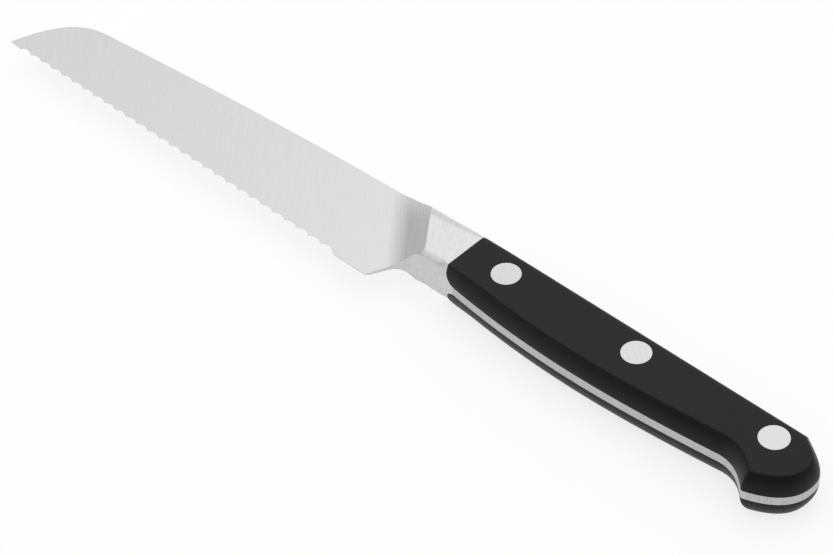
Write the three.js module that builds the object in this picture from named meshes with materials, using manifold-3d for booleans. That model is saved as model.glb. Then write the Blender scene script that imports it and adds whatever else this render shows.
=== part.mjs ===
// Serrated kitchen knife with a forged bolster, a full tang and riveted scales.
// It lies on its side: +X runs to the butt, +Y to the spine, the edge faces -Y, +Z is up.
// Sizes are millimetres. While it is being made, the working origin is on the front plane
// of the scales, at the spine line, in the middle of the thickness.
import * as THREE from 'three';
import { mergeVertices } from 'three/addons/utils/BufferGeometryUtils.js';
import Module from 'manifold-3d';

const wasm = await Module();
wasm.setup();

// Blade
const bladeLength = 130;
const bladeHeight = 25.85;
const bladeSpineThickness = 2.1;
const bladeEdgeThickness = 0.7;
const edgeLand = 0.15;
const heelSetback = 16.5;
const heelRound = 0.8;
const tipRise = 0.7;
const noseLength = 17.4;
const noseDrop = 7.2;
const noseAngle = 72;
const noseFullness = 0.72;
const spineSlopeAtNose = 0.094;

// Serration, ground from the lower side only
const scallopPitch = 4.1;
const scallopDepth = 0.85;
const serrationInset = 0.37;
const plainTip = 4.1;
const plainHeel = 11.2;
const bevelAngle = 20;

// Bolster and choil
const bolsterSpineLength = 19;
const bolsterBellyLength = 6.4;
const bolsterSpineRoll = 6;
const bolsterSpineDrop = 3.7;
const bolsterRoll = 2;
const bolsterBlend = 3;
const taperStart = 8;
const taperTipThickness = 3;
const grindAngle = 33;
const grindRadius = 9;
const choilHeight = 15.35;
const choilLength = 11.6;
const choilSlope = -0.02;
const choilRound = 5;
const choilFullness = 0.6;

// Handle outline, heights measured down from the spine line
const handleLength = 102.4;
const frontHeight = 15.63;
const frontSlope = -0.15;
const bellyHeight = 18.33;
const bellyPlace = 37;
const waistHeight = 15.3;
const waistInset = 21.2;
const waistSlope = 0.115;
const beakHeight = 20.23;
const beakInset = 10.9;
const beakFrontAngle = 48;
const beakBackAngle = 18;
const beakFullness = 0.67;
const buttMiddle = 9.03;
const buttCornerLength = 8;
const buttCornerAngle = 31;
const buttFullness = 0.88;

// Handle section
const handleThickness = 12.54;
const tangThickness = 2.4;
const tangFillet = 3.2;
const spineRoll = 6.4;
const spineEase = 2.2;
const sideInset = 1.85;
const frontInset = 1.15;
const frontInsetLength = 9;

// Rivets, each a sleeve from above and a pin pressed into it from below
const rivetHeadDiameter = 7.3;
const rivetHeadThickness = 2;
const rivetBarrelDiameter = 5;
const rivetPinDiameter = 3;
const rivetEndInset = 12.4;
const rivetFrontDrop = 8.07;
const rivetMiddleDrop = 7.38;
const rivetRearDrop = 7.09;

// Clearances
const headClearance = 0.1;
const barrelClearance = 0.1;
const pinClearance = 0.05;
const pinEndClearance = 0.4;
const seatClearance = 0.3;

// How finely round forms are divided
const curveSteps = 10;
const roundSteps = 32;
const arcSteps = 12;
const wallLevels = [0, 0.25, 0.5, 0.7, 0.84, 0.94, 1];

// How far a cutting tool reaches past what it cuts, and how far a rolled edge starts above a face
const margin = 2;
const rollStart = 0.02;

const halfHandle = handleThickness / 2;
const halfTang = tangThickness / 2;
const scaleThickness = halfHandle - halfTang;
const heelX = -heelSetback;
const tipX = heelX - bladeLength;
const radians = THREE.MathUtils.degToRad;
const lerp = THREE.MathUtils.lerp;

// Outline helpers: a tangent corner towards a pivot, and a curve between two slopes

function cornerTo(path, pivot, end, fullness) {
  const first = path.currentPoint.clone().lerp(pivot, fullness);
  const second = end.clone().lerp(pivot, fullness);
  path.bezierCurveTo(first.x, first.y, second.x, second.y, end.x, end.y);
}

function slopeTo(path, end, startSlope, endSlope) {
  const start = path.currentPoint.clone();
  const third = (end.x - start.x) / 3;
  const first = new THREE.Vector2(start.x + third, start.y + third * startSlope);
  const second = new THREE.Vector2(end.x - third, end.y - third * endSlope);
  path.bezierCurveTo(first.x, first.y, second.x, second.y, end.x, end.y);
}

function crossing(pointA, slopeA, pointB, slopeB) {
  const x = (pointB.y - pointA.y + slopeA * pointA.x - slopeB * pointB.x) / (slopeA - slopeB);
  return new THREE.Vector2(x, pointA.y + slopeA * (x - pointA.x));
}

// The handle's outline from the front of the belly round the butt to the front of the spine

function addHandle(path) {
  const belly = new THREE.Vector2(bellyPlace, -bellyHeight);
  const waist = new THREE.Vector2(handleLength - waistInset, -waistHeight);
  const beak = new THREE.Vector2(handleLength - beakInset, -beakHeight);
  const butt = new THREE.Vector2(handleLength, -buttMiddle);
  const buttFoot = new THREE.Vector2(butt.x, beak.y + beakInset * Math.tan(radians(beakBackAngle)));
  const buttTop = new THREE.Vector2(handleLength, -buttCornerLength * Math.tan(radians(buttCornerAngle)));
  const spineEnd = new THREE.Vector2(handleLength - buttCornerLength, 0);
  slopeTo(path, belly, frontSlope, 0);
  slopeTo(path, waist, 0, waistSlope);
  cornerTo(path, crossing(waist, waistSlope, beak, -Math.tan(radians(beakFrontAngle))), beak, beakFullness);
  cornerTo(path, buttFoot, butt, beakFullness);
  cornerTo(path, buttTop, spineEnd, buttFullness);
  path.lineTo(0, 0);
}

// The spine's height at a place between the scales and the nose

function spineYAt(x) {
  const share = x / (tipX + noseLength);
  const bend = spineSlopeAtNose * (tipX + noseLength);
  return share ** 2 * ((2 * share - 3) * noseDrop + (share - 1) * bend);
}

function forgingOutline() {
  const tip = new THREE.Vector2(tipX, tipRise - bladeHeight);
  const heel = new THREE.Vector2(heelX, -bladeHeight);
  const choil = new THREE.Vector2(-choilLength, -choilHeight);
  const front = new THREE.Vector2(0, -frontHeight);
  const heelStart = new THREE.Vector2(heel.x - heelRound, heel.y);
  const heelEnd = heel.clone().add(choil.clone().sub(heel).setLength(heelRound));
  const choilStart = choil.clone().add(heel.clone().sub(choil).setLength(choilRound));
  const choilEnd = choil.clone().add(new THREE.Vector2(1, choilSlope).setLength(choilRound));
  const noseTop = new THREE.Vector2(tipX + noseLength, -noseDrop);
  const shape = new THREE.Shape();
  shape.moveTo(tip.x, tip.y);
  shape.lineTo(tipX + plainTip, serrationInset - bladeHeight);
  shape.lineTo(heelStart.x, heelStart.y);
  cornerTo(shape, heel, heelEnd, choilFullness);
  shape.lineTo(choilStart.x, choilStart.y);
  cornerTo(shape, choil, choilEnd, choilFullness);
  slopeTo(shape, front, choilSlope, frontSlope);
  addHandle(shape);
  slopeTo(shape, noseTop, 0, spineSlopeAtNose);
  cornerTo(shape, crossing(noseTop, spineSlopeAtNose, tip, Math.tan(radians(noseAngle))), tip, noseFullness);
  return shape.getPoints(curveSteps).slice(0, -1);
}

function scaleOutline() {
  const path = new THREE.Path();
  path.moveTo(0, -frontHeight);
  addHandle(path);
  return path.getPoints(curveSteps);
}

// The face's height from the front of the scales, along a taper that aims at the tip

function taperHeight(x) {
  return lerp(halfHandle, taperTipThickness / 2, (taperStart - x) / (taperStart - tipX));
}

// Wall section: how far the wall has leaned in at a height above the tang, below a face

function bellyLean(height, lean) {
  const radius = (scaleThickness ** 2 + lean ** 2) / (2 * lean);
  const rise = Math.min(height, scaleThickness);
  return radius - Math.sqrt(radius ** 2 - rise ** 2);
}

function bolsterLean(height, face) {
  const rise = Math.max(0, height - (face - bolsterRoll));
  return bolsterRoll - Math.sqrt(Math.max(0, bolsterRoll ** 2 - rise ** 2));
}

function wallLean(height, face, x) {
  const inset = lerp(frontInset, sideInset, THREE.MathUtils.smoothstep(x, 0, frontInsetLength));
  const roll = THREE.MathUtils.smoothstep(x, heelX, -choilLength) * bolsterLean(height, face);
  const share = THREE.MathUtils.smoothstep(x, -bolsterBlend, 0);
  return lerp(roll, bellyLean(height, inset), share);
}

// Outward normals of an outline that runs anticlockwise, and how far each corner stretches

function outlineNormals(points, closed) {
  const last = points.length - 1;
  return points.map((point, index) => {
    const before = points[index > 0 ? index - 1 : closed ? last : 0];
    const after = points[index < last ? index + 1 : closed ? 0 : last];
    const entering = point.clone().sub(before).normalize();
    const leaving = after.clone().sub(point).normalize();
    const along = entering.clone().add(leaving).normalize();
    const normal = new THREE.Vector2(along.y, -along.x);
    const bend = Math.max(Math.abs(along.dot(leaving)), 0.3);
    return { normal, stretch: 1 / bend };
  });
}

// A closed body through rings of equal length, each an anticlockwise outline seen from above

function throughRings(rings) {
  const count = rings[0].length;
  const top = rings.length - 1;
  const positions = rings.flat().flatMap((point) => point.toArray());
  const faces = [];
  for (let level = 0; level < top; level += 1) {
    for (let index = 0; index < count; index += 1) {
      const next = (index + 1) % count;
      const low = level * count;
      const high = low + count;
      faces.push(low + index, low + next, high + next);
      faces.push(low + index, high + next, high + index);
    }
  }
  for (const [a, b, c] of THREE.ShapeUtils.triangulateShape(rings[0], [])) {
    faces.push(a, c, b);
  }
  for (const [a, b, c] of THREE.ShapeUtils.triangulateShape(rings[top], [])) {
    faces.push(top * count + a, top * count + b, top * count + c);
  }
  const geometry = new THREE.BufferGeometry();
  geometry.setAttribute('position', new THREE.Float32BufferAttribute(positions, 3));
  geometry.setIndex(faces);
  return geometry;
}

// A slab whose wall leans in towards its faces. A level is a side, 1 above and -1 below, and a
// share of the way from the tang to the face.

function leaningSlab(points, normals, levels, faceAt) {
  return throughRings(levels.map(([side, share]) => points.map((point, index) => {
    const { normal, stretch } = normals[index];
    const face = faceAt(point.x) - halfTang;
    const lean = wallLean(share * face, face, point.x) * stretch;
    const edge = point.clone().addScaledVector(normal, -lean);
    const height = lerp(halfTang, faceAt(edge.x), share);
    return new THREE.Vector3(edge.x, edge.y, side * height);
  })));
}

// Joining and cutting

function solid(geometry) {
  const plain = geometry.clone();
  plain.deleteAttribute('normal');
  plain.deleteAttribute('uv');
  const merged = mergeVertices(plain, 1e-4);
  const vertProperties = new Float32Array(merged.attributes.position.array);
  const triVerts = new Uint32Array(merged.index.array);
  return new wasm.Manifold(new wasm.Mesh({ numProp: 3, vertProperties, triVerts }));
}

function geometryOf(body) {
  const { vertProperties, triVerts } = body.getMesh();
  const geometry = new THREE.BufferGeometry();
  geometry.setAttribute('position', new THREE.BufferAttribute(vertProperties, 3));
  geometry.setIndex(new THREE.BufferAttribute(triVerts, 1));
  return geometry;
}

function cutAll(body, cutters) {
  return cutters.reduce((rest, cutter) => rest.subtract(solid(cutter)), body);
}

function mirroredInZ(geometry) {
  const mirrored = geometry.clone();
  const position = mirrored.attributes.position;
  for (let index = 0; index < position.count; index += 1) {
    position.setZ(index, -position.getZ(index));
  }
  const corners = mirrored.index ? Array.from(mirrored.index.array) : [...Array(position.count).keys()];
  const flipped = corners.map((corner, index) => corners[index + [0, 1, -1][index % 3]]);
  mirrored.setIndex(flipped);
  return mirrored;
}

// A prism with its section in X and Z, running along Y past both sides of the knife

function prismAlongY(section) {
  const depth = bladeHeight + 2 * margin;
  const geometry = new THREE.ExtrudeGeometry(section, {
    depth,
    bevelEnabled: false,
    curveSegments: arcSteps,
  });
  geometry.rotateX(Math.PI / 2);
  geometry.translate(0, margin, 0);
  return geometry;
}

// Everything above the tang behind the bolster, with a fillet in the inner corner

function tangPocket() {
  const far = handleLength + margin;
  const high = taperHeight(far) + margin;
  const section = new THREE.Shape();
  section.moveTo(0, high);
  section.lineTo(0, halfTang + tangFillet);
  section.absarc(tangFillet, halfTang + tangFillet, tangFillet, Math.PI, Math.PI * 1.5, false);
  section.lineTo(far, halfTang);
  section.lineTo(far, high);
  section.closePath();
  return prismAlongY(section);
}

// What rounds a scale's inner front edge so that it clears that fillet

function scaleFrontRound() {
  const radius = tangFillet + seatClearance;
  const section = new THREE.Shape();
  section.moveTo(-margin, halfTang - margin);
  section.lineTo(radius, halfTang - margin);
  section.lineTo(radius, halfTang);
  section.absarc(radius, halfTang + radius, radius, Math.PI * 1.5, Math.PI, true);
  section.lineTo(-margin, halfTang + radius);
  section.closePath();
  return prismAlongY(section);
}

// What brings the front of a scale's face down to meet the bolster's

function scaleFrontTaper() {
  const section = new THREE.Shape();
  section.moveTo(-margin, taperHeight(-margin));
  section.lineTo(taperStart, halfHandle);
  section.lineTo(taperStart, halfHandle + margin);
  section.lineTo(-margin, halfHandle + margin);
  section.closePath();
  return prismAlongY(section);
}

// The rolled spine in section, as points of Y and Z from the face down to the side. On the scales
// a tighter curve joins the roll to the face. On the bolster it opens into one broad curve.

function scaleSpinePoint(angle, x) {
  const easeHeight = halfHandle - spineEase;
  const join = Math.asin(Math.min(1, (easeHeight - halfTang) / (spineRoll - spineEase)));
  const easeY = (spineRoll - spineEase) * Math.cos(join) - spineRoll;
  const onEase = angle > join;
  const radius = onEase ? spineEase : spineRoll;
  const y = (onEase ? easeY : -spineRoll) + radius * Math.cos(angle);
  const z = (onEase ? easeHeight - halfTang : 0) + radius * Math.sin(angle);
  const top = Math.min(taperHeight(x), halfHandle) + rollStart;
  return new THREE.Vector2(y, halfTang + z * (top - halfTang) / scaleThickness);
}

function bolsterSpinePoint(angle, x) {
  const y = spineYAt(-bolsterSpineLength) + bolsterSpineRoll * (Math.cos(angle) - 1);
  const z = taperHeight(x) + rollStart + bolsterSpineDrop * (Math.sin(angle) - 1);
  return new THREE.Vector2(y, z);
}

// What rolls the spine side over from a face, between stations along X with a section at each

function spineRound(stations) {
  const high = halfHandle + margin;
  const steps = 2 * arcSteps;
  const rings = stations.map(([x, pointAt]) => {
    const roll = Array.from({ length: steps + 1 }, (unused, index) => {
      return pointAt((1 - index / steps) * Math.PI / 2, x);
    });
    const foot = new THREE.Vector2(margin, roll[steps].y);
    const ring = [...roll, foot, new THREE.Vector2(margin, high), new THREE.Vector2(roll[0].x, high)];
    return ring.map((point) => new THREE.Vector3(point.x, point.y, x));
  });
  const basis = new THREE.Matrix4().makeBasis(
    new THREE.Vector3(0, 1, 0),
    new THREE.Vector3(0, 0, 1),
    new THREE.Vector3(1, 0, 0),
  );
  return throughRings(rings).applyMatrix4(basis);
}

function scaleSpineRound() {
  return spineRound([
    [-margin, scaleSpinePoint],
    [taperStart, scaleSpinePoint],
    [handleLength + margin, scaleSpinePoint],
  ]);
}

function bolsterSpineRound() {
  return spineRound([
    [-2 * bolsterSpineLength, bolsterSpinePoint],
    [-bolsterSpineLength, bolsterSpinePoint],
    [0, scaleSpinePoint],
    [margin, scaleSpinePoint],
  ]);
}

// The ramp that thins the bolster down to the blade, eased into the blade's side. It leaves the
// bolster along a straight line, and sinks towards the spine as far as the bolster rolls over.

function rampSection(rise) {
  const angle = radians(grindAngle);
  const foot = rise / Math.tan(angle);
  const ease = grindRadius * Math.tan(angle / 2);
  const path = new THREE.Path();
  path.moveTo(-margin / Math.tan(angle), rise + margin);
  path.lineTo(foot - ease * Math.cos(angle), ease * Math.sin(angle));
  path.absarc(foot + ease, grindRadius, grindRadius, Math.PI * 1.5 - angle, Math.PI * 1.5, false);
  path.lineTo(bladeLength + heelSetback, 0);
  return path.getPoints(arcSteps / 2);
}

function bladeGrind() {
  const halfSpine = bladeSpineThickness / 2;
  const tip = (halfSpine - bladeEdgeThickness / 2) / bladeHeight;
  const rise = taperHeight(-(bolsterSpineLength + bolsterBellyLength) / 2) - halfSpine;
  const slant = (bolsterSpineLength - bolsterBellyLength) / choilHeight;
  const stretch = Math.hypot(1, slant);
  const section = rampSection(rise);
  const high = handleThickness + margin;
  const steps = 2 * arcSteps;
  const rolls = Array.from({ length: steps + 1 }, (unused, index) => {
    const roll = (1 - index / steps) * Math.PI / 2;
    return [bolsterSpinePoint(roll, 0).x, roll];
  });
  const stations = [[-2 * bladeHeight, Math.PI / 2], ...rolls, [margin, 0]];
  const rings = stations.map(([y, roll]) => {
    const leave = -bolsterBellyLength - slant * (y + choilHeight);
    const floor = halfSpine + tip * y;
    const share = (bolsterSpinePoint(roll, leave).y - floor) / rise;
    const ramp = section.map((point) => {
      return new THREE.Vector3(floor + share * point.y, leave - stretch * point.x, y);
    });
    const first = new THREE.Vector3(high, ramp[0].y, y);
    const last = new THREE.Vector3(high, ramp[ramp.length - 1].y, y);
    return [first, ...ramp, last];
  });
  const basis = new THREE.Matrix4().makeBasis(
    new THREE.Vector3(0, 0, 1),
    new THREE.Vector3(1, 0, 0),
    new THREE.Vector3(0, 1, 0),
  );
  return throughRings(rings).applyMatrix4(basis);
}

// The flat bevel along the edge, and one hollow gouge for each scallop, both from below

function edgeFrame(x, inset) {
  const angle = radians(bevelAngle);
  const frame = new THREE.Matrix4().makeBasis(
    new THREE.Vector3(1, 0, 0),
    new THREE.Vector3(0, Math.sin(angle), Math.cos(angle)),
    new THREE.Vector3(0, -Math.cos(angle), Math.sin(angle)),
  );
  return frame.setPosition(x, inset - bladeHeight, bladeEdgeThickness / 2);
}

function edgeCutter(section, x, inset) {
  const length = 2 * (bladeSpineThickness / Math.sin(radians(bevelAngle)) + margin);
  const geometry = new THREE.ExtrudeGeometry(section, {
    depth: length,
    bevelEnabled: false,
    curveSegments: arcSteps / 2,
  });
  geometry.translate(0, 0, -length / 2);
  return geometry.applyMatrix4(edgeFrame(x, inset));
}

function edgeBevel() {
  const half = (bladeLength + 2 * margin) / 2;
  const depth = bladeSpineThickness + margin;
  const section = new THREE.Shape();
  section.moveTo(-half, 0);
  section.lineTo(-half, -depth);
  section.lineTo(half, -depth);
  section.lineTo(half, 0);
  section.closePath();
  return edgeCutter(section, heelX - bladeLength / 2, -edgeLand);
}

function scallopGouges() {
  const length = bladeLength - plainTip - plainHeel;
  const count = Math.max(1, Math.round(length / scallopPitch));
  const pitch = length / count;
  const drop = scallopDepth * Math.sin(radians(bevelAngle));
  const radius = (pitch / 2) ** 2 / (2 * drop) + drop / 2;
  const spread = Math.asin(Math.min(1, (0.65 * pitch) / radius));
  const section = new THREE.Shape();
  section.absarc(0, -radius, radius, Math.PI / 2 + spread, Math.PI / 2 - spread, true);
  section.lineTo(radius * Math.sin(spread), -radius);
  section.lineTo(-radius * Math.sin(spread), -radius);
  section.closePath();
  return Array.from({ length: count }, (unused, index) => {
    const x = tipX + plainTip + pitch * (index + 0.5);
    return edgeCutter(section, x, serrationInset + scallopDepth);
  });
}

// Rivet places and turned forms

const rivets = [
  { name: 'front', x: rivetEndInset, y: -rivetFrontDrop },
  { name: 'middle', x: handleLength / 2, y: -rivetMiddleDrop },
  { name: 'rear', x: handleLength - rivetEndInset, y: -rivetRearDrop },
];

function turned(profile) {
  const points = profile.map(([radius, height]) => new THREE.Vector2(radius, height));
  const geometry = new THREE.LatheGeometry(points, roundSteps);
  return geometry.rotateX(Math.PI / 2);
}

function roundHole(rivet, diameter, from, to) {
  const radius = diameter / 2;
  const geometry = turned([[0, from], [radius, from], [radius, to], [0, to]]);
  return geometry.translate(rivet.x, rivet.y, 0);
}

const headFloor = halfHandle - rivetHeadThickness;
const barrelHole = rivetBarrelDiameter + 2 * barrelClearance;
const headHole = rivetHeadDiameter + 2 * headClearance;
const pinBore = rivetPinDiameter + 2 * pinClearance;

function rivetHoles() {
  return rivets.map((rivet) => roundHole(rivet, barrelHole, -halfHandle, halfHandle));
}

// The pieces

function forgedBlade() {
  const points = forgingOutline();
  const above = wallLevels.map((share) => [1, share]);
  const below = wallLevels.map((share) => [-1, share]).reverse();
  const levels = [...below, ...above];
  const blank = solid(leaningSlab(points, outlineNormals(points, true), levels, taperHeight));
  const fromBothSides = [tangPocket(), bolsterSpineRound(), bladeGrind()];
  return geometryOf(cutAll(blank, [
    ...fromBothSides,
    ...fromBothSides.map(mirroredInZ),
    edgeBevel(),
    ...scallopGouges(),
    ...rivetHoles(),
  ]));
}

function upperScale() {
  const points = scaleOutline();
  const normals = outlineNormals(points, false);
  normals[0] = { normal: new THREE.Vector2(0, -1), stretch: 1 };
  normals[points.length - 1] = { normal: new THREE.Vector2(0, 1), stretch: 1 };
  const levels = wallLevels.map((share) => [1, share]);
  const blank = solid(leaningSlab(points, normals, levels, () => halfHandle));
  const counterbores = rivets.map((rivet) => roundHole(rivet, headHole, headFloor, halfHandle + margin));
  return geometryOf(cutAll(blank, [
    scaleSpineRound(),
    scaleFrontTaper(),
    scaleFrontRound(),
    ...rivetHoles(),
    ...counterbores,
  ]));
}

function rivetSleeve() {
  const barrelEnd = seatClearance - headFloor;
  return turned([
    [0, headFloor],
    [pinBore / 2, headFloor],
    [pinBore / 2, barrelEnd],
    [rivetBarrelDiameter / 2, barrelEnd],
    [rivetBarrelDiameter / 2, headFloor],
    [rivetHeadDiameter / 2, headFloor],
    [rivetHeadDiameter / 2, halfHandle],
    [0, halfHandle],
  ]);
}

function rivetPin() {
  return turned([
    [0, -halfHandle],
    [rivetHeadDiameter / 2, -halfHandle],
    [rivetHeadDiameter / 2, -headFloor],
    [rivetPinDiameter / 2, -headFloor],
    [rivetPinDiameter / 2, headFloor - pinEndClearance],
    [0, headFloor - pinEndClearance],
  ]);
}

// Assembly

const steel = new THREE.MeshStandardMaterial({ color: 0xd3d4d5, roughness: 0.34, metalness: 1 });
const rivetSteel = new THREE.MeshStandardMaterial({ color: 0xcfcfcf, roughness: 0.3, metalness: 1 });
const polymer = new THREE.MeshStandardMaterial({ color: 0x2b2b2c, roughness: 0.5, metalness: 0 });

function piece(name, geometry, material) {
  geometry.computeVertexNormals();
  const mesh = new THREE.Mesh(geometry, material);
  mesh.name = name;
  return mesh;
}

const knife = new THREE.Group();
const upper = upperScale();
knife.add(piece('forged_blade_and_tang', forgedBlade(), steel));
knife.add(piece('upper_scale', upper, polymer));
knife.add(piece('lower_scale', mirroredInZ(upper), polymer));
for (const rivet of rivets) {
  const place = new THREE.Group();
  place.position.set(rivet.x, rivet.y, 0);
  place.add(piece(`${rivet.name}_rivet_sleeve`, rivetSleeve(), rivetSteel));
  place.add(piece(`${rivet.name}_rivet_pin`, rivetPin(), rivetSteel));
  knife.add(place);
}

// The origin ends up under the middle of the knife, on the surface that it lies on
const box = new THREE.Box3().setFromObject(knife);
const middle = box.getCenter(new THREE.Vector3());
knife.position.set(-middle.x, -middle.y, -box.min.z);

export default knife;
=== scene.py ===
"""Looks of a serrated kitchen knife with a forged bolster, a full tang and riveted scales.

The pieces are drawn in millimetres in a working frame: its origin is on the front plane of the
scales, at the spine line, in the middle of the thickness. +X runs to the butt, +Y to the spine.
"""
import math

import bpy
import bmesh
import numpy as np
from mathutils import Euler, Matrix, Vector


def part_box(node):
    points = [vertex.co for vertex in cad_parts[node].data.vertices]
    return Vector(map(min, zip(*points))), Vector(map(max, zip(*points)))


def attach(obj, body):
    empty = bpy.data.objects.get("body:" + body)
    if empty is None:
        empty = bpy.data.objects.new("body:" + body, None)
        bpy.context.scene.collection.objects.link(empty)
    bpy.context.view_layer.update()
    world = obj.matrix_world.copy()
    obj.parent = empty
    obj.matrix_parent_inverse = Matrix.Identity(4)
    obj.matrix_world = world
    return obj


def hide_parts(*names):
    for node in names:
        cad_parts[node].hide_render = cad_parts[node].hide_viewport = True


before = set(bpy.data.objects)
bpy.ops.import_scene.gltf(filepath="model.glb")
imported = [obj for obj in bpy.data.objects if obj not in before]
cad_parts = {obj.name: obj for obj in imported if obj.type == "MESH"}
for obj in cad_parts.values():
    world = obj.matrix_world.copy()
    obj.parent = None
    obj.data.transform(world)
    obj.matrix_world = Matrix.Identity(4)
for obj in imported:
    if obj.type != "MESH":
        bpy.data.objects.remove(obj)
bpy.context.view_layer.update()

# What the frame gives: the working origin, and the sizes that the solids already have
MM = 0.001
forging_low, forging_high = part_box("forged_blade_and_tang")
scale_low, scale_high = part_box("upper_scale")
origin = Vector((scale_low.x, forging_high.y, (forging_low.z + forging_high.z) / 2))
half_handle = (scale_high.z - origin.z) / MM
half_tang = (scale_low.z - origin.z) / MM
handle_length = (scale_high.x - scale_low.x) / MM
blade_height = (forging_high.y - forging_low.y) / MM
tip_x = (forging_low.x - origin.x) / MM
scale_thickness = half_handle - half_tang

# Blade
blade_length = 130
spine_thickness = 2.1
edge_thickness = 0.7
edge_land = 0.15
heel_land = 0.85
heel_round = 0.8
tip_rise = 0.7
nose_length = 17.4
nose_drop = 7.2
nose_angle = 72
nose_fullness = 0.72
spine_slope_at_nose = 0.094
heel_x = tip_x + blade_length

# Serration, ground from the lower side only
scallop_count = 28
scallop_depth = 0.85
serration_inset = 0.37
plain_tip = 4.1
plain_heel = 11.2
run_out_share = 0.65
bevel_angle = 20

# Bolster and choil
bolster_spine_length = 19
bolster_belly_length = 6.4
bolster_spine_roll = 6
bolster_spine_drop = 3.7
bolster_roll = 2
bolster_blend = 3
taper_start = 8
taper_tip_thickness = 3
grind_angle = 33
grind_radius = 9
choil_height = 15.35
choil_length = 11.6
choil_slope = -0.02
choil_round = 5
choil_fullness = 0.6

# Handle outline, heights measured down from the spine line
front_height = 15.63
front_slope = -0.15
belly_height = 18.33
belly_place = 37
waist_height = 15.3
waist_inset = 21.2
waist_slope = 0.115
beak_height = 20.23
beak_inset = 10.9
beak_front_angle = 48
beak_back_angle = 18
beak_fullness = 0.67
butt_middle = 9.03
butt_corner_length = 8
butt_corner_angle = 31
butt_fullness = 0.88

# Handle section
tang_fillet = 3.2
spine_roll = 6.4
spine_ease = 2.2
side_inset = 1.85
front_inset = 1.15
front_inset_length = 9
crease_round = 0.3
beak_round = 0.6
beak_round_fullness = 0.6

# Rivets
rivet_barrel_radius = 2.5
rivet_pin_radius = 1.5
rivet_head_thickness = 2
rivet_rim_round = 0.12
rivet_gap = 0.03
pin_gap = 0.05
pin_end_gap = 0.4

# Fineness of the meshes, and how far a cutter reaches past what it cuts
curve_steps = 28
spine_steps = 60
roll_steps = 24
grind_steps = 72
scallop_steps = 14
round_steps = 96
beak_steps = 6
crease_steps = 8
rim_steps = 6
margin = 2
seam = 0.01


# Outline helpers: a tangent corner towards a pivot, and a curve between two slopes

def bezier(start, first, second, end, steps):
    t = np.linspace(0, 1, steps + 1)[1:, None]
    return ((1 - t) ** 3 * start + 3 * (1 - t) ** 2 * t * first
            + 3 * (1 - t) * t ** 2 * second + t ** 3 * end)


def corner(start, pivot, end, fullness, steps=curve_steps):
    start, pivot, end = np.array(start), np.array(pivot), np.array(end)
    return bezier(start, start + (pivot - start) * fullness, end + (pivot - end) * fullness, end, steps)


def sloped(start, end, start_slope, end_slope, steps=curve_steps):
    start, end = np.array(start), np.array(end)
    third = (end[0] - start[0]) / 3
    first = start + third * np.array((1, start_slope))
    second = end - third * np.array((1, end_slope))
    return bezier(start, first, second, end, steps)


def crossing(point_a, slope_a, point_b, slope_b):
    x = (point_b[1] - point_a[1] + slope_a * point_a[0] - slope_b * point_b[0]) / (slope_a - slope_b)
    return x, point_a[1] + slope_a * (x - point_a[0])


def tan(degrees):
    return math.tan(math.radians(degrees))


# Outlines

def belly_outline():
    """From the front of the belly to the beak, and from the beak to the rearmost point of the butt."""
    front = (0, -front_height)
    belly = (belly_place, -belly_height)
    waist = (handle_length - waist_inset, -waist_height)
    beak = (handle_length - beak_inset, -beak_height)
    butt = (handle_length, -butt_middle)
    beak_front = crossing(waist, waist_slope, beak, -tan(beak_front_angle))
    butt_foot = (handle_length, beak[1] + beak_inset * tan(beak_back_angle))
    belly_side = np.vstack([
        [front],
        sloped(front, belly, front_slope, 0),
        sloped(belly, waist, 0, waist_slope),
        corner(waist, beak_front, beak, beak_fullness),
    ])
    butt_side = np.vstack([[beak], corner(beak, butt_foot, butt, beak_fullness)])
    return belly_side, butt_side


def butt_outline():
    """From the rearmost point of the butt up to the end of the spine line."""
    butt = (handle_length, -butt_middle)
    butt_top = (handle_length, -butt_corner_length * tan(butt_corner_angle))
    return corner(butt, butt_top, (handle_length - butt_corner_length, 0), butt_fullness)


def at_places(points, places):
    """Points of a polyline at fractional indices."""
    whole = np.arange(len(points))
    return np.stack([np.interp(places, whole, points[:, 0]), np.interp(places, whole, points[:, 1])], 1)


def meeting(first, second):
    """The fractional indices at which the end of one polyline crosses the start of another."""
    for i in range(len(first) - 2, len(first) - 1 - curve_steps, -1):
        for j in range(curve_steps):
            a, b = first[i + 1] - first[i], second[j + 1] - second[j]
            gap = second[j] - first[i]
            turn = a[0] * b[1] - a[1] * b[0]
            t = (gap[0] * b[1] - gap[1] * b[0]) / turn
            u = (gap[0] * a[1] - gap[1] * a[0]) / turn
            if -seam < t < 1 + seam and -seam < u < 1 + seam:
                return i + t, j + u
    return len(first) - 1, 0


def round_beak(belly_side, butt_side):
    """Both sides of the beak cut back to where they meet, with a small round between them."""
    end, start = meeting(belly_side, butt_side)
    tip = at_places(belly_side, [end])[0]
    end -= beak_round / np.linalg.norm(belly_side[-1] - belly_side[-2])
    start += beak_round / np.linalg.norm(butt_side[1] - butt_side[0])
    before = at_places(belly_side, np.linspace(0, end, len(belly_side)))
    after = at_places(butt_side, np.linspace(start, len(butt_side) - 1, len(butt_side)))
    return np.vstack([before, corner(before[-1], tip, after[0], beak_round_fullness, beak_steps)[:-1], after])


def spine_y(x):
    share = x / (tip_x + nose_length)
    bend = spine_slope_at_nose * (tip_x + nose_length)
    return share ** 2 * ((2 * share - 3) * nose_drop + (share - 1) * bend)


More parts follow.
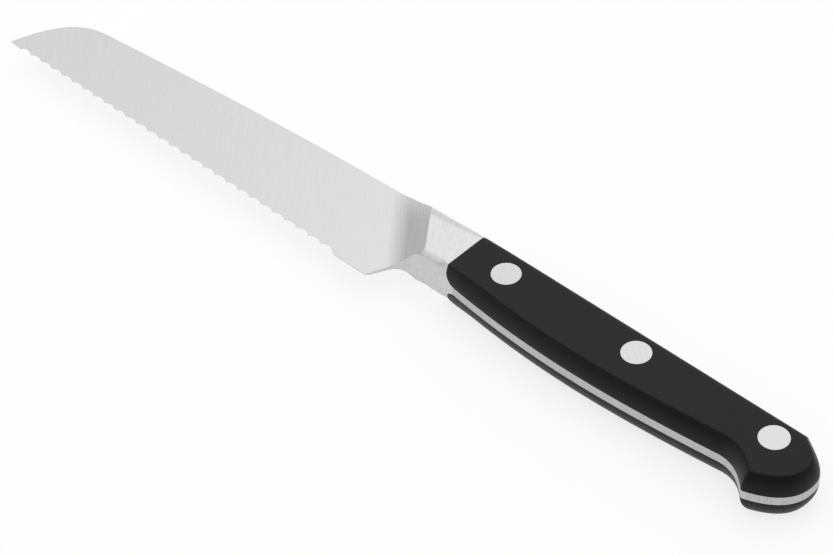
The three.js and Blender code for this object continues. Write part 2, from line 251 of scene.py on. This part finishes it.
def forging_outline():
    tip = np.array((tip_x, tip_rise - blade_height))
    heel = np.array((heel_x, -blade_height))
    choil = np.array((-choil_length, -choil_height))
    nose_top = np.array((tip_x + nose_length, -nose_drop))
    heel_start = heel - np.array((heel_round, 0))
    heel_end = heel + (choil - heel) / np.linalg.norm(choil - heel) * heel_round
    choil_start = choil + (heel - choil) / np.linalg.norm(heel - choil) * choil_round
    choil_end = choil + np.array((1, choil_slope)) * choil_round
    nose_pivot = crossing(nose_top, spine_slope_at_nose, tip, tan(nose_angle))
    return np.vstack([
        [tip, (tip_x + plain_tip, serration_inset - blade_height), heel_start],
        corner(heel_start, heel, heel_end, choil_fullness, beak_steps),
        [choil_start],
        corner(choil_start, choil, choil_end, choil_fullness),
        sloped(choil_end, (0, -front_height), choil_slope, front_slope),
        round_beak(*belly_outline())[1:],
        butt_outline(),
        [(0, 0)],
        sloped((0, 0), nose_top, 0, spine_slope_at_nose, spine_steps),
        corner(nose_top, nose_pivot, tip, nose_fullness)[:-1],
    ])


def outward(points, closed):
    """Outward normals of an anticlockwise outline, stretched at corners so that walls keep their offset."""
    before = np.roll(points, 1, 0)
    after = np.roll(points, -1, 0)
    if not closed:
        before[0] = points[0] - (points[1] - points[0])
        after[-1] = points[-1] + (points[-1] - points[-2])
    entering = points - before
    leaving = after - points
    entering /= np.linalg.norm(entering, axis=1)[:, None]
    leaving /= np.linalg.norm(leaving, axis=1)[:, None]
    along = entering + leaving
    along /= np.linalg.norm(along, axis=1)[:, None]
    bend = np.maximum(np.abs((along * leaving).sum(1)), 0.3)
    return np.stack([along[:, 1], -along[:, 0]], 1) / bend[:, None]


# The face's height from the front of the scales, along a taper that aims at the tip

def taper_height(x):
    return half_handle - (half_handle - taper_tip_thickness / 2) * (taper_start - x) / (taper_start - tip_x)


# Wall section: how far the wall has leaned in at a share of the way from the tang to the face

def smooth(value, low, high):
    t = np.clip((value - low) / (high - low), 0, 1)
    return t * t * (3 - 2 * t)


def belly_lean(share, lean):
    radius = (scale_thickness ** 2 + lean ** 2) / (2 * lean)
    return radius - np.sqrt(radius ** 2 - (share * scale_thickness) ** 2)


def bolster_lean(share, face):
    rise = np.maximum(0, share * face - (face - bolster_roll))
    return bolster_roll - np.sqrt(np.maximum(0, bolster_roll ** 2 - rise ** 2))


def wall_lean(share, x):
    inset = front_inset + (side_inset - front_inset) * smooth(x, 0, front_inset_length)
    return belly_lean(share, inset)


def forging_lean(share, x):
    """The bolster's rolled edge, which starts at the choil and opens into the wall of the scales."""
    roll = smooth(x, heel_x, -choil_length) * bolster_lean(share, taper_height(x) - half_tang)
    blend = smooth(x, -bolster_blend, 0)
    behind = 1 - smooth(x, tang_fillet, front_inset_length)
    return (roll * (1 - blend) + wall_lean(share, x) * blend) * behind


def scale_spine_point(angle):
    """The rolled spine of a scale in Y and Z, with a tighter curve where it joins the face."""
    ease_height = half_handle - spine_ease
    join = math.asin((ease_height - half_tang) / (spine_roll - spine_ease))
    ease_y = (spine_roll - spine_ease) * math.cos(join) - spine_roll
    if angle > join:
        return ease_y + spine_ease * math.cos(angle), ease_height + spine_ease * math.sin(angle)
    return -spine_roll + spine_roll * math.cos(angle), half_tang + spine_roll * math.sin(angle)


def lowered(z, x):
    """A height on the scales brought down to the taper at the front."""
    face = np.minimum(taper_height(x), half_handle) - half_tang
    return half_tang + (z - half_tang) * face / scale_thickness


def front_spine_point(angle, x):
    y, z = scale_spine_point(angle)
    return y, lowered(z, x)


def bolster_spine_point(angle, x):
    y = spine_y(-bolster_spine_length) + bolster_spine_roll * (math.cos(angle) - 1)
    return y, taper_height(x) + bolster_spine_drop * (math.sin(angle) - 1)


# Mesh helpers

def place(points):
    """Points of the working frame, in metres in the knife's own frame."""
    return np.asarray(points, float) * MM + np.array(origin)


def new_piece(name, points, faces):
    mesh = bpy.data.meshes.new(name)
    mesh.from_pydata(place(points).tolist(), [], faces)
    body = bmesh.new()
    body.from_mesh(mesh)
    bmesh.ops.recalc_face_normals(body, faces=body.faces)
    body.to_mesh(mesh)
    body.free()
    piece = bpy.data.objects.new(name, mesh)
    bpy.context.scene.collection.objects.link(piece)
    return piece


def through_rings(name, rings):
    """A closed body through rings of equal length, with a flat face at each end."""
    count = len(rings[0])
    faces = [tuple(range(count)), tuple(range((len(rings) - 1) * count, len(rings) * count))]
    for level in range(len(rings) - 1):
        low = level * count
        for index in range(count):
            after = (index + 1) % count
            faces.append((low + index, low + after, low + count + after, low + count + index))
    return new_piece(name, np.vstack(rings), faces)


def prism(name, section, start, u, v, w, length):
    """A section drawn along u and v, pushed along w."""
    section = np.asarray(section, float)
    base = np.asarray(start, float) + section[:, :1] * np.asarray(u) + section[:, 1:] * np.asarray(v)
    return through_rings(name, [base, base + length * np.asarray(w, float)])


def arc(centre, radius, start, end, steps):
    """Points on an arc between two angles in degrees."""
    angles = np.radians(np.linspace(start, end, steps + 1))
    return np.stack([centre[0] + radius * np.cos(angles), centre[1] + radius * np.sin(angles)], 1)


def mirrored(piece):
    """A copy of a piece on the other side of the middle plane."""
    twin = piece.copy()
    twin.data = piece.data.copy()
    twin.data.transform(Matrix.Translation((0, 0, 2 * origin.z)) @ Matrix.Scale(-1, 4, (0, 0, 1)))
    twin.data.flip_normals()
    bpy.context.scene.collection.objects.link(twin)
    return twin


def cut(piece, cutters):
    for cutter in cutters:
        modifier = piece.modifiers.new("cut", "BOOLEAN")
        modifier.operation = "DIFFERENCE"
        modifier.solver = "EXACT"
        modifier.object = cutter
    graph = bpy.context.evaluated_depsgraph_get()
    result = bpy.data.meshes.new_from_object(piece.evaluated_get(graph))
    piece.modifiers.clear()
    piece.data = result
    for cutter in cutters:
        bpy.data.objects.remove(cutter)
    return piece


def shade(piece, angle):
    """Smooth faces with creases kept sharp, and broad faces kept flat up to their edges."""
    piece.data.shade_smooth()
    piece.data.set_sharp_from_angle(angle=math.radians(angle))
    weighted = piece.modifiers.new("flat faces", "WEIGHTED_NORMAL")
    weighted.keep_sharp = True
    weighted.weight = 100
    return piece


# Cutters for the forging and the scales

def across_handle(name, section):
    """A section in X and Z, pushed across the knife from past the spine to past the edge."""
    length = blade_height + 2 * margin
    return prism(name, section, (0, margin, 0), (1, 0, 0), (0, 0, 1), (0, -1, 0), length)


def tang_pocket():
    high = taper_height(handle_length) + margin
    far = handle_length + margin
    section = np.vstack([
        [(0, high)],
        arc((tang_fillet, half_tang + tang_fillet), tang_fillet, 180, 270, roll_steps),
        [(far, half_tang), (far, high)],
    ])
    return across_handle("pocket", section)


def scale_front_round():
    low = half_tang - margin
    radius = tang_fillet + seam
    section = np.vstack([
        [(-margin, low), (radius, low)],
        arc((radius, half_tang + radius), radius, 270, 180, roll_steps),
        [(-margin, half_tang + radius)],
    ])
    return across_handle("front", section)


def bolster_spine_round():
    high = half_handle + margin
    stations = [
        (-2 * bolster_spine_length, bolster_spine_point),
        (-bolster_spine_length, bolster_spine_point),
        (0, front_spine_point),
        (margin, front_spine_point),
    ]
    rings = []
    for x, point_at in stations:
        roll = [point_at(angle, x) for angle in np.linspace(math.pi / 2, 0, 2 * roll_steps + 1)]
        ring = roll + [(margin, roll[-1][1]), (margin, high), (roll[0][0], high)]
        rings.append(np.array([(x, y, z) for y, z in ring]))
    return through_rings("spine roll", rings)


def grind_frame():
    """Where the ramp leaves the bolster: its lower end, and the directions along and across it."""
    vertex = np.array((-bolster_belly_length, -choil_height))
    along = np.array((-bolster_spine_length, 0)) - vertex
    along /= np.linalg.norm(along)
    return vertex, along, np.array((-along[1], along[0]))


def ramp_section(rise):
    """The ramp from the bolster's face down to the blade, eased into the blade's side."""
    ease = grind_radius * tan(grind_angle / 2)
    foot = rise / tan(grind_angle) + ease
    return np.vstack([
        [(-margin / tan(grind_angle), rise + margin)],
        arc((foot, grind_radius), grind_radius, 270 - grind_angle, 270, grind_steps),
        [(blade_length - heel_x, 0)],
    ])


def blade_grind():
    """What the ramp takes off, in rings across the knife. It sinks to the spine as the bolster rolls over."""
    half_spine = spine_thickness / 2
    tip = (half_spine - edge_thickness / 2) / blade_height
    rise = taper_height(-(bolster_spine_length + bolster_belly_length) / 2) - half_spine
    ramp = ramp_section(rise)
    slant = (bolster_spine_length - bolster_belly_length) / choil_height
    high = 2 * half_handle + margin
    rolls = np.linspace(math.pi / 2, 0, 2 * roll_steps + 1)
    stations = [(bolster_spine_point(roll, 0)[0], roll) for roll in rolls]
    rings = []
    for y, roll in [(-2 * blade_height, math.pi / 2), *stations, (margin, 0)]:
        leave = -bolster_belly_length - slant * (y + choil_height)
        floor = half_spine + tip * y
        share = (bolster_spine_point(roll, leave)[1] - floor) / rise
        x = leave - ramp[:, 0] * math.hypot(1, slant)
        z = floor + ramp[:, 1] * share
        side = np.column_stack([x, np.full(len(x), y), z])
        rings.append(np.vstack([[(x[0], y, high)], side, [(x[-1], y, high)]]))
    return through_rings("grind", rings)


def edge_cutter(name, section, inset):
    """A section across the edge, swept from the lower side at the bevel's angle."""
    angle = math.radians(bevel_angle)
    sweep = np.array((0, -math.cos(angle), math.sin(angle)))
    length = 2 * (spine_thickness / math.sin(angle) + margin)
    start = np.array((0, inset - blade_height, edge_thickness / 2)) - sweep * length / 2
    return prism(name, section, start, (1, 0, 0), (0, math.sin(angle), math.cos(angle)), sweep, length)


def edge_bevel(low, high, land):
    """The bevel along one stretch of the edge, which leaves a land on the upper side."""
    depth = spine_thickness + margin
    return edge_cutter("bevel", [(low, 0), (low, -depth), (high, -depth), (high, 0)], -land)


def scallop_gouges():
    start = tip_x + plain_tip
    end = heel_x - plain_heel
    pitch = (end - start) / scallop_count
    drop = scallop_depth * math.sin(math.radians(bevel_angle))
    radius = (pitch / 2) ** 2 / (2 * drop) + drop / 2
    spread = math.degrees(math.asin(pitch / 2 / radius))
    hollows = [
        arc((start + pitch * (index + 0.5), -radius), radius, 90 + spread, 90 - spread, scallop_steps)[:-1]
        for index in range(scallop_count)
    ]
    run_out = math.degrees(math.asin(run_out_share * pitch / radius))
    last = arc((end - pitch / 2, -radius), radius, 90 - spread, 90 - run_out, scallop_steps)
    depth = spine_thickness + margin
    section = np.vstack([*hollows, last, [(last[-1, 0], -depth), (start, -depth)]])
    return edge_cutter("scallops", section, serration_inset + scallop_depth)


def round_cutter(rivet, radius, low, high):
    circle = arc(rivet, radius, 0, 360, round_steps)[:-1]
    rings = [np.column_stack([circle, np.full(len(circle), z)]) for z in (low, high)]
    return through_rings("hole", rings)


# Rivet places and head size, from the solids

def rivet_place(name):
    low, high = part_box(f"{name}_rivet_sleeve")
    middle = ((low + high) / 2 - origin) / MM
    return (middle.x, middle.y), (high.x - low.x) / 2 / MM


rivets = {name: rivet_place(name) for name in ("front", "middle", "rear")}
head_floor = half_handle - rivet_head_thickness


# The pieces

def forged_blade():
    outline = forging_outline()
    normals = outward(outline, True)
    shares = np.sin(np.linspace(0, math.pi / 2, roll_steps))
    levels = [(-1, share) for share in shares[::-1]] + [(1, share) for share in shares]
    rings = []
    for side, share in levels:
        edge = outline - normals * forging_lean(share, outline[:, 0])[:, None]
        z = half_tang + share * (taper_height(edge[:, 0]) - half_tang)
        rings.append(np.column_stack([edge, side * z]))
    piece = through_rings("forged_blade", rings)
    upper = [tang_pocket(), bolster_spine_round(), blade_grind()]
    lower = [mirrored(cutter) for cutter in upper]
    holes = [round_cutter(where, rivet_barrel_radius + rivet_gap, -half_handle, half_handle)
             for where, _ in rivets.values()]
    serration_end = heel_x - plain_heel
    bevels = [edge_bevel(tip_x - margin, serration_end, edge_land),
              edge_bevel(serration_end, heel_x + margin, heel_land)]
    cut(piece, [*upper, *lower, *bevels, scallop_gouges(), *holes])
    return shade(piece, 22)


def scale_levels():
    """Heights of a scale's rings, each with its share of the way round the crease at the face."""
    angles = np.linspace(0, math.pi / 2, 2 * roll_steps + 1)
    heights = [scale_spine_point(angle)[1] for angle in angles]
    foot = half_handle - crease_round
    levels = [(z, None) for z in heights if z < foot - seam]
    for share in np.linspace(0, 1, crease_steps + 1):
        levels.append((foot + (half_handle - foot) * (2 * share - share ** 2), share))
    return levels


def scale_wall(z, share, x):
    """How far a scale's wall has leaned in at a height, or on the way round the crease."""
    if share is None:
        return wall_lean((z - half_tang) / scale_thickness, x)
    foot = wall_lean(1 - crease_round / scale_thickness, x)
    top = wall_lean(1, x)
    return (1 - share) ** 2 * foot + 2 * share * (1 - share) * top + share ** 2 * (top + crease_round)


def spine_line(z):
    """How far in the rolled spine of a scale is at a height."""
    low, high = 0, math.pi / 2
    for _ in range(40):
        middle = (low + high) / 2
        if scale_spine_point(middle)[1] < z:
            low = middle
        else:
            high = middle
    return scale_spine_point((low + high) / 2)[0]


def leaned(outline, normals, z, share):
    return outline - normals * scale_wall(z, share, outline[:, 0])[:, None]


def scale_ring(sides, z, share):
    """One ring of a scale: its wall leaned in, ending where the butt meets the rolled spine."""
    belly, butt, corner_curve = [leaned(*side, z, share) for side in sides]
    y = spine_line(z)
    over = np.nonzero(corner_curve[:, 1] > y)[0]
    end = len(corner_curve) - 1
    if len(over):
        last = over[0] - 1
        end = last + (y - corner_curve[last, 1]) / (corner_curve[last + 1, 1] - corner_curve[last, 1])
    tail = at_places(corner_curve, np.linspace(0, end, len(corner_curve)))
    tail[-1, 1] = y
    x = np.linspace(tail[-1, 0], 0, curve_steps + 1)[1:]
    spine = np.column_stack([x, np.full(len(x), y)])
    flat = np.vstack([round_beak(belly, butt)[:-1], tail, spine])
    return np.column_stack([flat, np.full(len(flat), z)])


def scale_sides():
    """The belly, the underside of the butt and the butt's corner, each with its outward normals."""
    belly, butt = belly_outline()
    corner_curve = np.vstack([butt[-1:], butt_outline()])
    sides = [(side, outward(side, False)) for side in (belly, butt, corner_curve)]
    sides[0][1][0] = (0, -1)
    return sides


def bend_front(piece):
    """Bend the front of a scale down to the taper, along a line across its face."""
    body = bmesh.new()
    body.from_mesh(piece.data)
    line = place((taper_start, 0, 0))
    everything = [*body.verts, *body.edges, *body.faces]
    bmesh.ops.bisect_plane(body, geom=everything, dist=1e-7, plane_co=line, plane_no=(1, 0, 0))
    for vertex in body.verts:
        x, _, z = (vertex.co - origin) / MM
        vertex.co.z = origin.z + float(lowered(z, x)) * MM
    body.to_mesh(piece.data)
    body.free()


def handle_scale(name):
    sides = scale_sides()
    piece = through_rings(name, [scale_ring(sides, z, share) for z, share in scale_levels()])
    bend_front(piece)
    seats = [round_cutter(where, radius + rivet_gap, head_floor, half_handle + margin)
             for where, radius in rivets.values()]
    cut(piece, [scale_front_round(), *seats])
    return shade(piece, 26)


def turned(name, where, profile):
    """A body of revolution on a rivet's axis, from pairs of radius and height."""
    rings = []
    for radius, z in profile:
        circle = arc(where, radius, 0, 360, round_steps)[:-1]
        rings.append(np.column_stack([circle, np.full(len(circle), z)]))
    return shade(through_rings(name, rings), 30)


def rim(radius, height, side):
    """The eased rim of a rivet head, from its side up to its face."""
    points = []
    for turn in np.radians(np.linspace(0, 90, rim_steps + 1)):
        inward = rivet_rim_round * (1 - math.cos(turn))
        down = rivet_rim_round * (1 - math.sin(turn))
        points.append((radius - inward, height - side * down))
    return points


def rivet_sleeve(name, where, radius):
    barrel_end = pin_end_gap - head_floor
    bore = rivet_pin_radius + pin_gap
    return turned(f"{name}_sleeve_head", where, [
        (bore, head_floor),
        (bore, barrel_end),
        (rivet_barrel_radius, barrel_end),
        (rivet_barrel_radius, head_floor),
        (radius, head_floor),
        *rim(radius, half_handle, 1),
    ])


def rivet_pin(name, where, radius):
    return turned(f"{name}_pin_head", where, [
        (rivet_pin_radius, head_floor - pin_end_gap),
        (rivet_pin_radius, -head_floor),
        (radius, -head_floor),
        *rim(radius, -half_handle, -1),
    ])


# Materials

class Nodes:
    """A material's node tree with short calls to add and join nodes."""

    def __init__(self, name):
        self.material = bpy.data.materials.new(name)
        self.material.use_nodes = True
        self.tree = self.material.node_tree
        self.shader = self.tree.nodes["Principled BSDF"]
        self.coordinates = self.tree.nodes.new("ShaderNodeTexCoord")
        self.place = self.coordinates.outputs["Object"]

    def add(self, kind, values=None, **settings):
        node = self.tree.nodes.new(kind)
        for key, value in settings.items():
            setattr(node, key, value)
        for key, value in (values or {}).items():
            node.inputs[key].default_value = value
        return node

    def join(self, output, socket):
        self.tree.links.new(output, socket)

    def noise(self, scale, turn=0, detail=3):
        """Noise with its own scale, in cycles per metre, along each axis after a turn about Z."""
        mapping = self.add("ShaderNodeMapping", {"Scale": scale})
        turned_place = self.add("ShaderNodeVectorRotate", {"Angle": turn}, rotation_type="Z_AXIS")
        self.join(self.place, turned_place.inputs["Vector"])
        self.join(turned_place.outputs["Vector"], mapping.inputs["Vector"])
        noise = self.add("ShaderNodeTexNoise", {"Scale": 1.0, "Detail": detail})
        self.join(mapping.outputs["Vector"], noise.inputs["Vector"])
        return noise.outputs["Fac"]

    def spread(self, value, low, high):
        """A noise value mapped onto a range."""
        limits = {"From Min": 0.25, "From Max": 0.75, "To Min": low, "To Max": high}
        node = self.add("ShaderNodeMapRange", limits)
        self.join(value, node.inputs["Value"])
        return node.outputs["Result"]

    def colours(self, value, dark, light):
        ramp = self.add("ShaderNodeValToRGB")
        ramp.color_ramp.elements[0].position = 0.3
        ramp.color_ramp.elements[0].color = (*dark, 1)
        ramp.color_ramp.elements[1].position = 0.7
        ramp.color_ramp.elements[1].color = (*light, 1)
        self.join(value, ramp.inputs["Fac"])
        return ramp.outputs["Color"]

    def sideways(self, low, high):
        """How far a surface faces a broad side of the knife: 0 up to a low share of Z, 1 from a high one."""
        normal = self.add("ShaderNodeSeparateXYZ")
        self.join(self.coordinates.outputs["Normal"], normal.inputs["Vector"])
        upright = self.add("ShaderNodeMath", operation="ABSOLUTE")
        self.join(normal.outputs["Z"], upright.inputs[0])
        limits = {"From Min": low, "From Max": high}
        share = self.add("ShaderNodeMapRange", limits, interpolation_type="SMOOTHSTEP")
        self.join(upright.outputs[0], share.inputs["Value"])
        return share.outputs["Result"]

    def blend(self, share, first, second, kind="RGBA"):
        """The first colour or value where the share is 0, the second where it is 1."""
        node = self.add("ShaderNodeMix", data_type=kind)
        sockets = [socket for socket in node.inputs if socket.enabled]
        for output, socket in zip((share, first, second), sockets):
            self.join(output, socket)
        return next(socket for socket in node.outputs if socket.enabled)

    def bump(self, value, strength, distance):
        node = self.add("ShaderNodeBump", {"Strength": strength, "Distance": distance})
        self.join(value, node.inputs["Height"])
        self.join(node.outputs["Normal"], self.shader.inputs["Normal"])

    def finish(self, colour, roughness, metallic=0.0, specular=0.5):
        self.join(colour, self.shader.inputs["Base Color"])
        self.join(roughness, self.shader.inputs["Roughness"])
        self.shader.inputs["Metallic"].default_value = metallic
        self.shader.inputs["Specular IOR Level"].default_value = specular
        return self.material


def grain_turn():
    """The turn that lays the X axis along the grinding lines, which run with the bolster's edge."""
    _, along, _ = grind_frame()
    return -math.atan2(along[1], along[0])


def ground_steel():
    """Fine grinding lines on the sides of the blade."""
    nodes = Nodes("ground_steel")
    lines = nodes.noise((120, 2200, 300), grain_turn(), 3)
    nodes.bump(lines, 0.03, 0.00002)
    colour = nodes.colours(lines, (0.755, 0.755, 0.758), (0.80, 0.80, 0.803))
    return nodes.finish(colour, nodes.spread(lines, 0.36, 0.44), metallic=1.0)


def satin_steel():
    """Brighter on the broad sides of the bolster, with painted shade round its edges and in the choil: a
    darker copy of the colour where the surface turns away from the broad sides.
    """
    nodes = Nodes("satin_steel")
    lines = nodes.noise((300, 1400, 900), grain_turn(), 4)
    nodes.bump(lines, 0.04, 0.00002)
    bright = nodes.colours(lines, (0.77, 0.77, 0.772), (0.89, 0.89, 0.892))
    # Painted shade: a darker copy of the steel colour for the bolster's edges and the choil.
    shaded_edge_colour = nodes.colours(lines, (0.60, 0.60, 0.605), (0.69, 0.69, 0.695))
    colour = nodes.blend(nodes.sideways(0.3, 0.9), shaded_edge_colour, bright)
    return nodes.finish(colour, nodes.spread(lines, 0.40, 0.50), metallic=1.0)


def tang_steel():
    """Belt lines across the edges of the tang, coloured darker as painted shade where they lie between the
    scales.
    """
    nodes = Nodes("tang_steel")
    lines = nodes.noise((2200, 2200, 200), 0, 4)
    nodes.bump(lines, 0.04, 0.00002)
    # Painted shade: the tang's steel colour is kept darker than the bolster's for its strip between the
    # scales.
    colour = nodes.colours(lines, (0.47, 0.47, 0.475), (0.57, 0.57, 0.575))
    return nodes.finish(colour, nodes.spread(lines, 0.40, 0.50), metallic=1.0)


def rivet_steel():
    """Brush lines across the rivet heads."""
    nodes = Nodes("rivet_steel")
    lines = nodes.noise((300, 4200, 900), 0.6, 3)
    nodes.bump(lines, 0.06, 0.00002)
    colour = nodes.colours(lines, (0.63, 0.63, 0.63), (0.74, 0.74, 0.74))
    return nodes.finish(colour, nodes.spread(lines, 0.30, 0.42), metallic=1.0)


def handle_polymer():
    """Sanded and rougher on the broad faces, smoother on the moulded walls; the walls are coloured darker
    than the greyer faces as painted shade.
    """
    nodes = Nodes("handle_polymer")
    grain = nodes.noise((2600, 2600, 2600), 0, 5)
    nodes.bump(grain, 0.08, 0.00003)
    face = nodes.sideways(0.75, 0.95)
    face_colour = nodes.colours(grain, (0.016, 0.016, 0.0163), (0.021, 0.021, 0.0214))
    # Painted shade: a darker copy of the polymer colour for the walls.
    shaded_wall_colour = nodes.colours(grain, (0.005, 0.005, 0.0051), (0.007, 0.007, 0.0071))
    rough = nodes.spread(grain, 0.52, 0.60)
    smoother = nodes.spread(grain, 0.42, 0.48)
    colour = nodes.blend(face, shaded_wall_colour, face_colour)
    return nodes.finish(colour, nodes.blend(face, smoother, rough, "FLOAT"), specular=0.2)


def dress_forging(piece):
    """Grinding lines on the blade and the ramps, satin on the bolster, belt lines round the tang."""
    for material in (satin_steel(), ground_steel(), tang_steel()):
        piece.data.materials.append(material)
    vertex, _, across = grind_frame()
    for face in piece.data.polygons:
        middle = (face.center - origin) / MM
        past = (middle.x - vertex[0]) * across[0] + (middle.y - vertex[1]) * across[1]
        if past > 0 and abs(face.normal.z) > 0.5:
            face.material_index = 1
        elif middle.x > tang_fillet:
            face.material_index = 2


# Studio

tent_axis = (-0.10, 0.33, 1)
tent_low = 0.22
tent_high = 0.99
paper_grey = 0.3
paper_lift = 0.76
floor_reach = 6


def white_paper():
    """Grey paper that still takes shadows, lifted to white where it is seen directly or in a reflection."""
    material = bpy.data.materials.new("white_paper")
    material.use_nodes = True
    tree = material.node_tree
    tree.nodes.remove(tree.nodes["Principled BSDF"])
    paper = tree.nodes.new("ShaderNodeBsdfDiffuse")
    paper.inputs["Color"].default_value = (paper_grey, paper_grey, paper_grey, 1)
    rays = tree.nodes.new("ShaderNodeLightPath").outputs
    seen = rays["Is Camera Ray"]
    for ray in ("Is Glossy Ray", "Is Transmission Ray"):
        either = tree.nodes.new("ShaderNodeMath")
        either.operation = "MAXIMUM"
        tree.links.new(seen, either.inputs[0])
        tree.links.new(rays[ray], either.inputs[1])
        seen = either.outputs[0]
    strength = tree.nodes.new("ShaderNodeMath")
    strength.operation = "MULTIPLY"
    strength.inputs[1].default_value = paper_lift
    tree.links.new(seen, strength.inputs[0])
    lift = tree.nodes.new("ShaderNodeEmission")
    tree.links.new(strength.outputs[0], lift.inputs["Strength"])
    both = tree.nodes.new("ShaderNodeAddShader")
    tree.links.new(paper.outputs[0], both.inputs[0])
    tree.links.new(lift.outputs[0], both.inputs[1])
    tree.links.new(both.outputs[0], tree.nodes["Material Output"].inputs["Surface"])
    return material


def add_floor():
    mesh = bpy.data.meshes.new("floor")
    corners = [(-1, -1), (1, -1), (1, 1), (-1, 1)]
    mesh.from_pydata([(x * floor_reach, y * floor_reach, 0) for x, y in corners], [], [(0, 1, 2, 3)])
    mesh.materials.append(white_paper())
    floor = bpy.data.objects.new("floor", mesh)
    bpy.context.scene.collection.objects.link(floor)


def add_softbox(name, where, aim, size, power):
    lamp = bpy.data.lights.new(name, "AREA")
    lamp.shape = "SQUARE"
    lamp.size = size
    lamp.energy = power
    box = bpy.data.objects.new(name, lamp)
    box.location = where
    box.rotation_euler = (Vector(aim) - Vector(where)).to_track_quat("-Z", "Y").to_euler()
    bpy.context.scene.collection.objects.link(box)


def add_world():
    """A soft tent, brightest overhead and behind the knife, darker towards the horizon in front."""
    world = bpy.data.worlds.new("studio")
    bpy.context.scene.world = world
    world.use_nodes = True
    tree = world.node_tree
    direction = tree.nodes.new("ShaderNodeTexCoord").outputs["Generated"]
    height = tree.nodes.new("ShaderNodeVectorMath")
    height.operation = "DOT_PRODUCT"
    height.inputs[1].default_value = tent_axis
    tree.links.new(direction, height.inputs[0])
    tent = tree.nodes.new("ShaderNodeMapRange")
    tent.inputs["From Min"].default_value = 0
    tent.inputs["From Max"].default_value = 1
    tent.inputs["To Min"].default_value = tent_low
    tent.inputs["To Max"].default_value = tent_high
    tree.links.new(height.outputs["Value"], tent.inputs["Value"])
    light = tree.nodes["Background"]
    light.inputs["Color"].default_value = (1, 1, 1, 1)
    tree.links.new(tent.outputs["Result"], light.inputs["Strength"])


def add_camera():
    camera = bpy.data.cameras.new("camera")
    camera.sensor_width = 36
    camera.lens = 113.91
    camera.clip_start = 0.01
    holder = bpy.data.objects.new("camera", camera)
    holder.location = (0.33192, -0.31353, 0.44071)
    holder.rotation_euler = Euler([math.radians(angle) for angle in (45.4466, 2.1663, 43.6574)])
    bpy.context.scene.collection.objects.link(holder)
    bpy.context.scene.camera = holder


# Assembly

def keep(piece, node):
    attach(piece, "root")
    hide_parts(node)


forging = forged_blade()
dress_forging(forging)
keep(forging, "forged_blade_and_tang")

polymer = handle_polymer()
upper_scale = handle_scale("handle_scale_upper")
lower_scale = mirrored(upper_scale)
lower_scale.name = "handle_scale_lower"
for scale, node in ((upper_scale, "upper_scale"), (lower_scale, "lower_scale")):
    scale.data.materials.append(polymer)
    keep(scale, node)

head_steel = rivet_steel()
for name, (where, radius) in rivets.items():
    for build, half in ((rivet_sleeve, "sleeve"), (rivet_pin, "pin")):
        rivet = build(name, where, radius)
        rivet.data.materials.append(head_steel)
        keep(rivet, f"{name}_rivet_{half}")

add_floor()
add_world()
add_softbox("key", where=(-0.24, 0.49, 0.68), aim=(0.05, 0, 0), size=0.4, power=0.16)
add_softbox("fill", where=(-0.55, -0.65, 0.28), aim=(0, 0, 0), size=0.6, power=0.6)
add_camera()
bpy.context.scene.view_settings.view_transform = "Standard"
